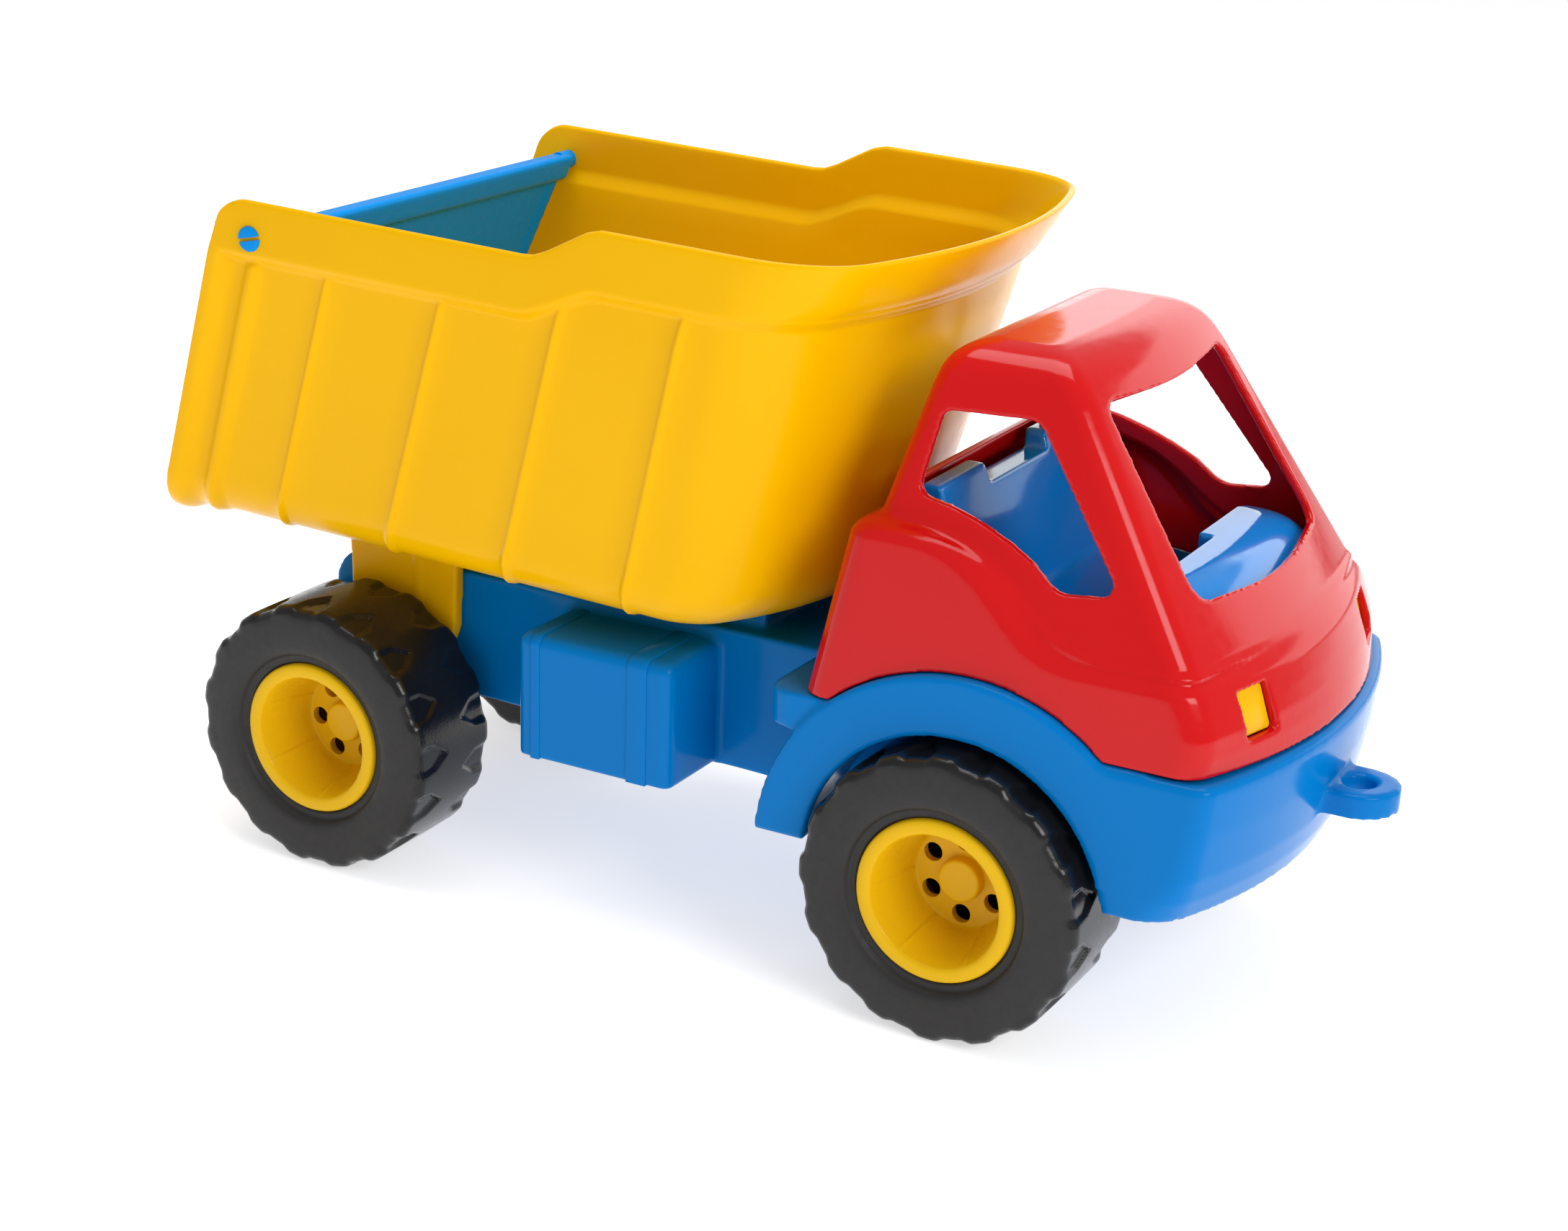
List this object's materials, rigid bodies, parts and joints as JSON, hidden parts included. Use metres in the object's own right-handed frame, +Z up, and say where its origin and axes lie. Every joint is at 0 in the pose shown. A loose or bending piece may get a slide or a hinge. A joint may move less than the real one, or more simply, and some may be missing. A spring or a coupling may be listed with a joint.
{
  "type": "toy dump truck",
  "caption": "Moulded plastic toy tipper truck with an open cab, a tipping bed, a hinged tailgate, a front tow eye and free-rolling wheels.",
  "frame": {"origin": "centre of the truck's bounding box, on the ground under the wheels", "axes": "+X towards the cab and the tow eye, +Y to the truck's left, +Z up"},
  "size_m": [0.4037, 0.1832, 0.2275],
  "materials": {
    "chassis_blue": "glossy moulded polypropylene",
    "cab_red": "glossy moulded polypropylene",
    "interior_blue": "glossy moulded polypropylene",
    "lamp_yellow": "glossy moulded plastic",
    "pin_blue": "glossy moulded plastic",
    "bed_yellow": "glossy moulded polypropylene",
    "tailgate_blue": "glossy moulded polypropylene",
    "axle_steel": "drawn steel rod",
    "rim_yellow": "satin moulded plastic",
    "tyre_black": "matte sidewall, shinier tread"
  },
  "bodies": {
    "chassis": {"chassis": "chassis_blue", "cab_shell": "cab_red", "cab_seats": "interior_blue", "cab_dash": "interior_blue", "headlight_left": "lamp_yellow", "headlight_right": "lamp_yellow", "pivot_pin_left": "pin_blue", "pivot_pin_right": "pin_blue"},
    "bed": {"dump_bed": "bed_yellow"},
    "gate": {"tailgate": "tailgate_blue"},
    "front_wheels": {"axle_front": "axle_steel", "rim_front_left": "rim_yellow", "rim_front_right": "rim_yellow", "tyre_front_left": "tyre_black", "tyre_front_right": "tyre_black"},
    "rear_wheels": {"axle_rear": "axle_steel", "rim_rear_left": "rim_yellow", "rim_rear_right": "rim_yellow", "tyre_rear_left": "tyre_black", "tyre_rear_right": "tyre_black"}
  },
  "joints": [
    {"name": "bed_tip", "type": "hinge", "parent": "chassis", "child": "bed", "pos_m": [-0.1295, 0, 0.076], "axis": [0, -1, 0], "range_deg": [0, 45]},
    {"name": "gate_swing", "type": "hinge", "parent": "bed", "child": "gate", "pos_m": [-0.14817, 0, 0.20887], "axis": [0, 1, 0], "range_deg": [0, 80]},
    {"name": "front_axle_spin", "type": "hinge", "parent": "chassis", "child": "front_wheels", "pos_m": [0.092, 0, 0.045], "axis": [0, 1, 0], "continuous": true},
    {"name": "rear_axle_spin", "type": "hinge", "parent": "chassis", "child": "rear_wheels", "pos_m": [-0.134, 0, 0.045], "axis": [0, 1, 0], "continuous": true}
  ]
}
